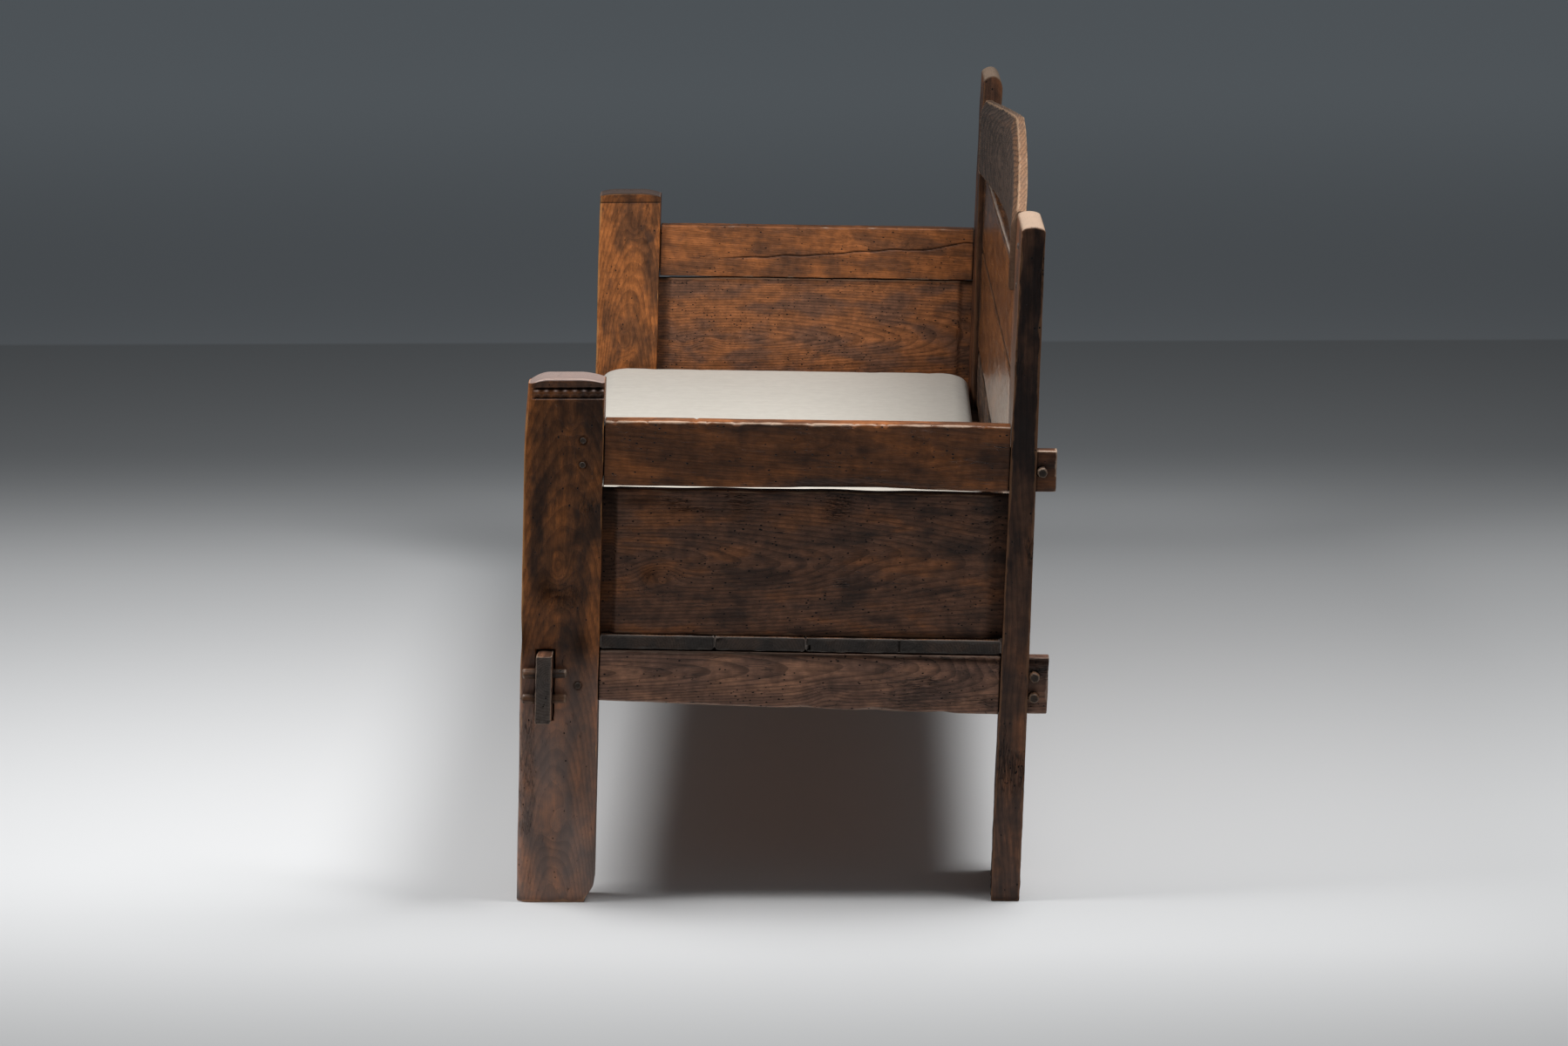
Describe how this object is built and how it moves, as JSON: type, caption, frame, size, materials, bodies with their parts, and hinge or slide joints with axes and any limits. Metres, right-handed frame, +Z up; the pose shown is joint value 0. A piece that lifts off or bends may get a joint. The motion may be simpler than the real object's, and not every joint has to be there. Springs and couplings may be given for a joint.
{
  "type": "three-seater bench",
  "caption": "Rustic oak bench with a plank seat, panelled ends, boarded back under a gabled crest, through tenons held by removable pegs, and a loose linen cushion",
  "frame": {"origin": "floor level, at the centre of the bounding box in plan", "axes": "+X along the bench's length, -Y to the front, +Y to the back, +Z up"},
  "size_m": [1.888, 0.7125, 0.9307],
  "materials": {
    "dark_oak": "old wax over dark, stained oak",
    "brown_oak": "old wax over brown oak",
    "warm_oak": "polished by use, orange-brown",
    "rough_oak": "dry, rough sawn",
    "peg_wood": "weathered, hand shaved",
    "linen": "plain woven greige linen"
  },
  "bodies": {
    "frame": {"arm_drawbore_peg_left_1": "peg_wood", "arm_drawbore_peg_left_2": "peg_wood", "arm_drawbore_peg_right_1": "peg_wood", "arm_drawbore_peg_right_2": "peg_wood", "arm_rail_left": "dark_oak", "arm_rail_right": "dark_oak", "back_bottom_board": "rough_oak", "back_crest": "warm_oak", "back_lower_board": "warm_oak", "back_middle_board": "warm_oak", "crest_peg_left_1": "peg_wood", "crest_peg_left_2": "peg_wood", "crest_peg_right_1": "peg_wood", "crest_peg_right_2": "peg_wood", "end_panel_left": "brown_oak", "end_panel_right": "brown_oak", "front_post_left": "dark_oak", "front_post_right": "dark_oak", "front_seat_rail": "dark_oak", "lower_rail_drawbore_peg_left_1": "peg_wood", "lower_rail_drawbore_peg_right_1": "peg_wood", "lower_side_rail_left": "brown_oak", "lower_side_rail_right": "brown_oak", "rear_post_left": "dark_oak", "rear_post_right": "dark_oak", "rear_seat_rail": "dark_oak", "seat_peg_left_1": "peg_wood", "seat_peg_left_2": "peg_wood", "seat_peg_left_3": "peg_wood", "seat_peg_left_4": "peg_wood", "seat_peg_left_5": "peg_wood", "seat_peg_left_6": "peg_wood", "seat_peg_right_1": "peg_wood", "seat_peg_right_2": "peg_wood", "seat_peg_right_3": "peg_wood", "seat_peg_right_4": "peg_wood", "seat_peg_right_5": "peg_wood", "seat_peg_right_6": "peg_wood", "seat_plank_front": "warm_oak", "seat_plank_middle": "warm_oak", "seat_plank_rear": "warm_oak"},
    "cushion": {"seat_cushion": "linen"},
    "arm_key_peg_left_body": {"arm_key_peg_left": "peg_wood"},
    "rear_key_peg_bottom_left_body": {"rear_key_peg_bottom_left": "peg_wood"},
    "front_key_peg_bottom_left_body": {"front_key_peg_bottom_left": "peg_wood"},
    "rear_key_peg_top_left_body": {"rear_key_peg_top_left": "peg_wood"},
    "front_key_peg_top_left_body": {"front_key_peg_top_left": "peg_wood"},
    "arm_key_peg_right_body": {"arm_key_peg_right": "peg_wood"},
    "rear_key_peg_bottom_right_body": {"rear_key_peg_bottom_right": "peg_wood"},
    "front_key_peg_bottom_right_body": {"front_key_peg_bottom_right": "peg_wood"},
    "rear_key_peg_top_right_body": {"rear_key_peg_top_right": "peg_wood"},
    "front_key_peg_top_right_body": {"front_key_peg_top_right": "peg_wood"}
  },
  "joints": [
    {"name": "cushion_lift", "type": "slide", "parent": "frame", "child": "cushion", "axis": [0, 0, 1], "range_m": [0, 0.3]},
    {"name": "arm_key_peg_left_draw", "type": "slide", "parent": "frame", "child": "arm_key_peg_left_body", "axis": [-1, 0, 0], "range_m": [0, 0.055]},
    {"name": "rear_key_peg_bottom_left_draw", "type": "slide", "parent": "frame", "child": "rear_key_peg_bottom_left_body", "axis": [-1, 0, 0], "range_m": [0, 0.055]},
    {"name": "front_key_peg_bottom_left_draw", "type": "slide", "parent": "frame", "child": "front_key_peg_bottom_left_body", "axis": [0, -1, 0], "range_m": [0, 0.064]},
    {"name": "rear_key_peg_top_left_draw", "type": "slide", "parent": "frame", "child": "rear_key_peg_top_left_body", "axis": [-1, 0, 0], "range_m": [0, 0.055]},
    {"name": "front_key_peg_top_left_draw", "type": "slide", "parent": "frame", "child": "front_key_peg_top_left_body", "axis": [0, -1, 0], "range_m": [0, 0.064]},
    {"name": "arm_key_peg_right_draw", "type": "slide", "parent": "frame", "child": "arm_key_peg_right_body", "axis": [1, 0, 0], "range_m": [0, 0.055]},
    {"name": "rear_key_peg_bottom_right_draw", "type": "slide", "parent": "frame", "child": "rear_key_peg_bottom_right_body", "axis": [1, 0, 0], "range_m": [0, 0.055]},
    {"name": "front_key_peg_bottom_right_draw", "type": "slide", "parent": "frame", "child": "front_key_peg_bottom_right_body", "axis": [0, -1, 0], "range_m": [0, 0.064]},
    {"name": "rear_key_peg_top_right_draw", "type": "slide", "parent": "frame", "child": "rear_key_peg_top_right_body", "axis": [1, 0, 0], "range_m": [0, 0.055]},
    {"name": "front_key_peg_top_right_draw", "type": "slide", "parent": "frame", "child": "front_key_peg_top_right_body", "axis": [0, -1, 0], "range_m": [0, 0.064]}
  ]
}
